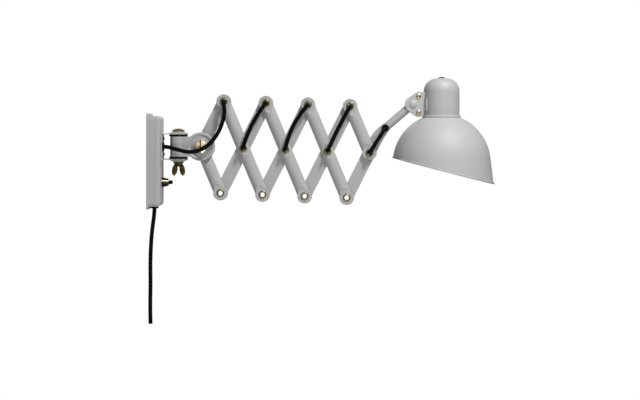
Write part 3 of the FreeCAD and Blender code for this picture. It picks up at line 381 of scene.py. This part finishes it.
def strand(name, body, cad_node, first, second, side, bows):
    """A stretch between two pivots, on the front or rear of the arm."""
    across = (second - first).normalized().cross(SIDE)
    stand = SIDE * side * STANDOFF
    lip = SIDE * side * LIP
    mouth = SIDE * side * MOUTH
    route = [first + mouth, first + lip, first + stand]
    for share, bow in zip(BOW_SHARES, bows):
        route.append(first + (second - first) * share + across * bow + stand + SIDE * side * BELLY)
    route += [second + stand, second + lip, second + mouth]
    cord = cord_curve(name, route)
    length = length_of(line_of(cord))
    sheathe(cord)
    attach(cord, body)
    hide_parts(cad_node)


FRONT_BOWS = {1: (0.0035, 0.0054, 0.0035), 2: (0.005, 0.0079, 0.005), 3: (0.001, 0.0016, 0.001)}
REAR_BOWS = (-0.0036, -0.005, -0.003)
for k, bows in FRONT_BOWS.items():
    strand(f"front_strand_{k}", f"rear_arm_{k}", f"cord_front_{k}", MID[k], TOP[k + 1], FRONT, bows)
for k in TOP:
    strand(f"rear_strand_{k}", f"front_arm_{k}", f"cord_rear_{k}", TOP[k], MID[k], REAR, REAR_BOWS)

# Arm cord at the lamp: the same lead on its last way to the lamp head.
# It comes out of the last hollow pivot and crosses the bend,
# and a grommet lets it into the lamp arm's tube.
BALL = PIVOT["head_tilt"]
TUBE_WAY = next(Vector(joint["axis"]) for joint in frame["joints"] if joint["name"] == "head_roll")
FROM_BALL = 0.010
OVER_BEND = Vector((0.012, -STANDOFF - BELLY, 0.020))
ENTRY_FRONT = 0.0123
entry_low, entry_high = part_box("arm_grommet")
entry_x = (entry_low.x + entry_high.x) / 2
entry_z = (entry_low.z + entry_high.z) / 2
arm_end = MID[CELLS]
arm_lead_route = [
    arm_end + Vector((0, -MOUTH, 0)),
    arm_end + Vector((0, -LIP, 0)),
    arm_end + Vector((0, -STANDOFF, 0)),
    arm_end + OVER_BEND,
    Vector((entry_x, -ENTRY_FRONT, entry_z)),
    Vector((entry_x, BALL.y, entry_z)),
    BALL + TUBE_WAY * FROM_BALL,
]
arm_lead = cord_curve("lead_in_lamp_arm", arm_lead_route)
arm_lead_length = length_of(line_of(arm_lead))
sheathe(arm_lead)
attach(arm_lead, "lamp_arm")
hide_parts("arm_lead")

# Arm cord in the lamp head: the short straight end of the lead, from the ball joint to the lampholder.
# The neck hides it, and it keeps its solid's place and length.
end_low, end_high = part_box("head_lead")
end_y = (end_low.y + end_high.y) / 2
end_z = (end_low.z + end_high.z) / 2
END_SHARES = (0, 0.3, 0.65, 1)
head_route = [Vector((end_low.x + (end_high.x - end_low.x) * share, end_y, end_z)) for share in END_SHARES]
head_end = cord_curve("lead_in_lamp_head", head_route)
sheathe(head_end)
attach(head_end, "lamp_head")
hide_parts("head_lead")

# Painted metal: the wall plate, cover, bracket, swivel block, links and lamp arm, of pressed and cast metal.
# A satin grey lacquer, sprayed on, with the faint ripple of sprayed paint.
CLOUD_MM = 60
CLOUD_DETAIL = 3.0
RIPPLE_MM = 1.6
RIPPLE_DEPTH_MM = 0.012


def dress(finish, *names):
    """Give nodes of the frame a finish."""
    for name in names:
        for slot in nodes[name].material_slots:
            slot.material = finish


def lacquer(name, light, dark):
    """Sprayed satin paint between two close shades, with its fine ripple."""
    made, tree, coords = material(name)
    clouds = speckle(tree, coords, CLOUD_MM, CLOUD_DETAIL)
    ripple = speckle(tree, coords, RIPPLE_MM)
    surface(tree, {
        "Base Color": two_tone(tree, clouds, light, dark),
        "Roughness": spread(tree, clouds, low=0.44, high=0.52),
        "Normal": dents(tree, ripple, RIPPLE_DEPTH_MM),
    })
    return made


grey_lacquer = lacquer("satin_grey_lacquer", "#AAAAAA", "#A4A4A4")
dress(grey_lacquer, "wall_plate", "box_cover", "swivel_bracket", "bracket_screws", "dished_washers")
dress(grey_lacquer, "swivel_block", "clamp_plate", "hub_washer")
dress(grey_lacquer, *[f"front_link_{k}" for k in range(CELLS + 1)])
dress(grey_lacquer, *[f"rear_link_{k}" for k in range(CELLS)])
dress(grey_lacquer, "lamp_arm")
# The lamp's head and its joint are a shade lighter.
light_lacquer = lacquer("satin_light_grey_lacquer", "#B3B3B3", "#AEAEAE")
dress(light_lacquer, "joint_plate_front", "joint_plate_rear", "joint_ball", "neck_housing")

# Shade: a spun sheet bowl, grey lacquer outside and white lacquer inside to throw the light down.
# The inside is the side that looks towards the bowl's axis.
shade_low, shade_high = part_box("shade_bowl")
shade_paint, tree, coords = material("shade_lacquer")
clouds = speckle(tree, coords, CLOUD_MM, CLOUD_DETAIL)
ripple = speckle(tree, coords, RIPPLE_MM)
middle = Vector(((shade_low.x + shade_high.x) / 2, BALL.y, shade_low.z))
inward = add(tree, "ShaderNodeVectorMath", {0: list(middle), 1: coords}, operation="SUBTRACT")
normal = add(tree, "ShaderNodeTexCoord").outputs["Normal"]
facing = add(tree, "ShaderNodeVectorMath", {0: inward.outputs[0], 1: normal}, operation="DOT_PRODUCT")
inside = add(tree, "ShaderNodeMath", {0: facing.outputs["Value"], 1: 0.0}, operation="GREATER_THAN")
outer = two_tone(tree, clouds, "#B4B4B5", "#AFAFB0")
inner = two_tone(tree, clouds, "#F4F4F3", "#EFEFEE")
colour = add(tree, "ShaderNodeMix", {
    "Factor": inside.outputs[0], MIX_FIRST: outer, MIX_SECOND: inner,
}, data_type="RGBA").outputs[MIX_RESULT]

# The sheet's edge is rolled, so the band round the rim shades like a round bead:
# its normal leans up above the band's middle and down below it.
RIM_SLOPE = math.radians(14.5)
RIM_BAND = 0.004
RIM_LEAN = 1.2
rim_way = Vector((math.sin(RIM_SLOPE), 0, math.cos(RIM_SLOPE)))
rim_corner = Vector((shade_high.x, BALL.y, shade_low.z))
from_corner = add(tree, "ShaderNodeVectorMath", {0: coords, 1: list(rim_corner)}, operation="SUBTRACT")
height = add(tree, "ShaderNodeVectorMath", {
    0: from_corner.outputs[0], 1: list(rim_way),
}, operation="DOT_PRODUCT").outputs["Value"]
lean = add(tree, "ShaderNodeMapRange", {
    "Value": height, "From Min": 0.0, "From Max": RIM_BAND, "To Min": -RIM_LEAN, "To Max": RIM_LEAN,
}, clamp=False)
on_band = add(tree, "ShaderNodeMath", {0: height, 1: RIM_BAND}, operation="LESS_THAN")
leaning = add(tree, "ShaderNodeMath", {
    0: lean.outputs["Result"], 1: on_band.outputs[0],
}, operation="MULTIPLY")
push = add(tree, "ShaderNodeVectorMath", {0: list(rim_way), "Scale": leaning.outputs[0]}, operation="SCALE")
beaded = add(tree, "ShaderNodeVectorMath", {
    0: dents(tree, ripple, RIPPLE_DEPTH_MM), 1: push.outputs[0],
}, operation="ADD")
round_rim = add(tree, "ShaderNodeVectorMath", {0: beaded.outputs[0]}, operation="NORMALIZE")
surface(tree, {
    "Base Color": colour,
    "Roughness": spread(tree, clouds, low=0.52, high=0.6),
    "Normal": round_rim.outputs[0],
})
dress(shade_paint, "shade_bowl")

# Brass: turned and left bare, so it mirrors the lights, with spots of tarnish.
# The screws and the lampholder contacts are polished, the swivel bolt is satin, and the pivots are raw.
# The wing nut is painted a darker brass to stand for dark reflections. The switch collar is painted nearly
# black, as painted shade for dark reflections, with a pale painted highlight along its upper front.
TARNISH_MM = 9
TURNING_MM = 0.5
TURNING_DEPTH_MM = 0.006
HUB_SLOT = 0.0024
collar_low, collar_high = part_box("switch_collar")
COLLAR_MIDDLE = (collar_low + collar_high) / 2
HIGHLIGHT_TURN = math.radians(18)
HIGHLIGHT_HALF = math.radians(12)


def slot_painted_shade(tree, coords):
    """One in the hub screw's slot, which is painted dark as painted shade."""
    across = add(tree, "ShaderNodeSeparateXYZ", {0: coords}).outputs["X"]
    return add(tree, "ShaderNodeMath", {
        0: across, 1: HUB.x, 2: HUB_SLOT / 2,
    }, operation="COMPARE").outputs[0]


def collar_painted_highlight(tree, coords):
    """One along the switch collar's upper front, where a pale highlight is painted."""
    offset = add(tree, "ShaderNodeVectorMath", {0: coords, 1: list(COLLAR_MIDDLE)}, operation="SUBTRACT")
    parts = add(tree, "ShaderNodeSeparateXYZ", {0: offset.outputs[0]})
    forward = add(tree, "ShaderNodeMath", {0: parts.outputs["Y"], 1: -1.0}, operation="MULTIPLY")
    turn = add(tree, "ShaderNodeMath", {0: parts.outputs["Z"], 1: forward.outputs[0]}, operation="ARCTAN2")
    return add(tree, "ShaderNodeMath", {
        0: turn.outputs[0], 1: HIGHLIGHT_TURN, 2: HIGHLIGHT_HALF,
    }, operation="COMPARE").outputs[0]


def brass(name, light, dark, gloss, rough, patch=None, patch_code=None):
    """Turned brass, tarnished in spots, with a patch of another colour used for painted highlights and
    painted shade.
    """
    made, tree, coords = material(name)
    tarnish = speckle(tree, coords, TARNISH_MM, detail=4.0)
    turning = speckle(tree, coords, TURNING_MM, detail=1.0)
    colour = two_tone(tree, tarnish, light, dark)
    if patch:
        colour = add(tree, "ShaderNodeMix", {
            "Factor": patch(tree, coords), MIX_FIRST: colour, MIX_SECOND: linear(patch_code),
        }, data_type="RGBA").outputs[MIX_RESULT]
    surface(tree, {
        "Base Color": colour,
        "Metallic": 1.0,
        "Roughness": spread(tree, tarnish, gloss, rough),
        "Normal": dents(tree, turning, TURNING_DEPTH_MM),
    })
    return made


polished_brass = brass("polished_brass", "#E8D59C", "#C9B272", gloss=0.18, rough=0.28)
dress(polished_brass, "plate_screws", "screw_shell", "centre_contact")
# The hub screw's slot is painted dark, as painted shade in the recess.
pale_brass = brass(
    "pale_polished_brass", "#F3E6C2", "#E9D8A8", gloss=0.3, rough=0.38, patch=slot_painted_shade, patch_code="#2A2010",
)
dress(pale_brass, "hub_screw")
raw_brass = brass("raw_brass", "#A59C68", "#625C3A", gloss=0.26, rough=0.4)
dress(raw_brass, *[f"eyelets_{k}" for k in range(CELLS + 1)])
satin_brass = brass("satin_brass", "#CFBD78", "#97874A", gloss=0.24, rough=0.36)
dress(satin_brass, "swivel_bolt")
# The wing nut's darker brass is painted shade, standing for the dark reflections on it.
darkened_brass = brass("darkened_brass", "#7A6836", "#352A12", gloss=0.24, rough=0.38)
dress(darkened_brass, "wing_nut")
# The collar's near-black brass is painted shade for dark reflections, and its pale band is a painted
# highlight.
near_black_brass_painted_highlight = brass(
    "near_black_brass_painted_highlight", "#2B2517", "#1D190F", gloss=0.08, rough=0.13, patch=collar_painted_highlight, patch_code="#F1E8C6",
)
dress(near_black_brass_painted_highlight, "switch_collar")

# Hub nut: zinc plated steel, tightened on the hub screw behind the arm.
# The plating gives it a grey shine with a faint spangle.
zinc, tree, coords = material("zinc_plated_steel")
spangle = speckle(tree, coords, size_mm=3, detail=3.0)
surface(tree, {
    "Base Color": two_tone(tree, spangle, "#C9CACB", "#A9ABAD"),
    "Metallic": 1.0,
    "Roughness": spread(tree, spangle, low=0.3, high=0.46),
})
dress(zinc, "hub_nut")

# Bushes, friction discs, top nut and push switch: moulded in black nylon.
# Nylon comes out of the mould with a dull shine and a fine grain.
PATCH_MM = 8
MOULD_DETAIL = 3.0


def moulding(name, light, dark, shine, gloss, rough, grain_mm, depth_mm):
    """A moulded plastic or rubber with a fine grain."""
    made, tree, coords = material(name)
    patches = speckle(tree, coords, PATCH_MM, MOULD_DETAIL)
    grain = speckle(tree, coords, grain_mm, MOULD_DETAIL)
    surface(tree, {
        "Base Color": two_tone(tree, patches, light, dark),
        "Roughness": spread(tree, patches, gloss, rough),
        "Specular IOR Level": shine,
        "Normal": dents(tree, grain, depth_mm),
    })
    return made


nylon = moulding(
    "moulded_black_nylon", "#0C0C0C", "#080808",
    shine=0.1, gloss=0.42, rough=0.55, grain_mm=0.6, depth_mm=0.02,
)
dress(nylon, "swivel_bushes", "friction_discs", "top_nut", "switch_button", "switch_body")

# Bush sleeve: the nylon sleeve round the swivel bolt, between the two bushes.
# The barrel of the swivel block is open towards the wall, and the sleeve stands proud there.
SLEEVE_RADIUS = 0.017
SLEEVE_HALF = 0.0206
SHARP_EDGE = math.radians(30)
barrel_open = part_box("swivel_block")[0].x
bpy.ops.object.select_all(action="DESELECT")
bpy.ops.mesh.primitive_cylinder_add(
    vertices=CIRCLE_SIDES, radius=SLEEVE_RADIUS, depth=2 * SLEEVE_HALF, location=SWIVEL_AXIS,
)
sleeve = bpy.context.object
sleeve.name = "bush_sleeve"
bpy.ops.object.transform_apply(location=True, rotation=True, scale=True)
bpy.ops.object.shade_smooth_by_angle(angle=SHARP_EDGE)
bpy.ops.object.mode_set(mode="EDIT")
bpy.ops.mesh.select_all(action="SELECT")
bpy.ops.mesh.bisect(
    plane_co=(barrel_open, 0, SWIVEL_AXIS.z), plane_no=(1, 0, 0), use_fill=True, clear_outer=True,
)
bpy.ops.object.mode_set(mode="OBJECT")
sleeve.data.materials.append(nylon)
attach(sleeve, "swivel_head")

# Lampholder: its body is moulded in black phenolic resin and held in the neck.
# Phenolic is hard and takes a gloss from the mould.
phenolic = moulding(
    "black_phenolic", "#1B1918", "#131211", shine=0.5, gloss=0.16, rough=0.26, grain_mm=1.5, depth_mm=0.006,
)
dress(phenolic, "lampholder_body")

# Grommets and gland: black rubber, pressed into the holes that the cord passes through.
# Rubber is matt, with a deeper grain than nylon.
rubber = moulding(
    "black_rubber", "#0C0C0C", "#080808", shine=0.1, gloss=0.62, rough=0.78, grain_mm=0.5, depth_mm=0.03,
)
dress(rubber, "arm_cord_grommet", "supply_gland", "arm_grommet")

# Terminal block: moulded in white plastic and fixed inside the wall box, out of sight.
# It has the soft sheen of plain moulded plastic.
white = moulding(
    "white_plastic", "#E8E6DF", "#DDDBD3", shine=0.4, gloss=0.4, rough=0.5, grain_mm=0.6, depth_mm=0.01,
)
dress(white, "terminal_block")
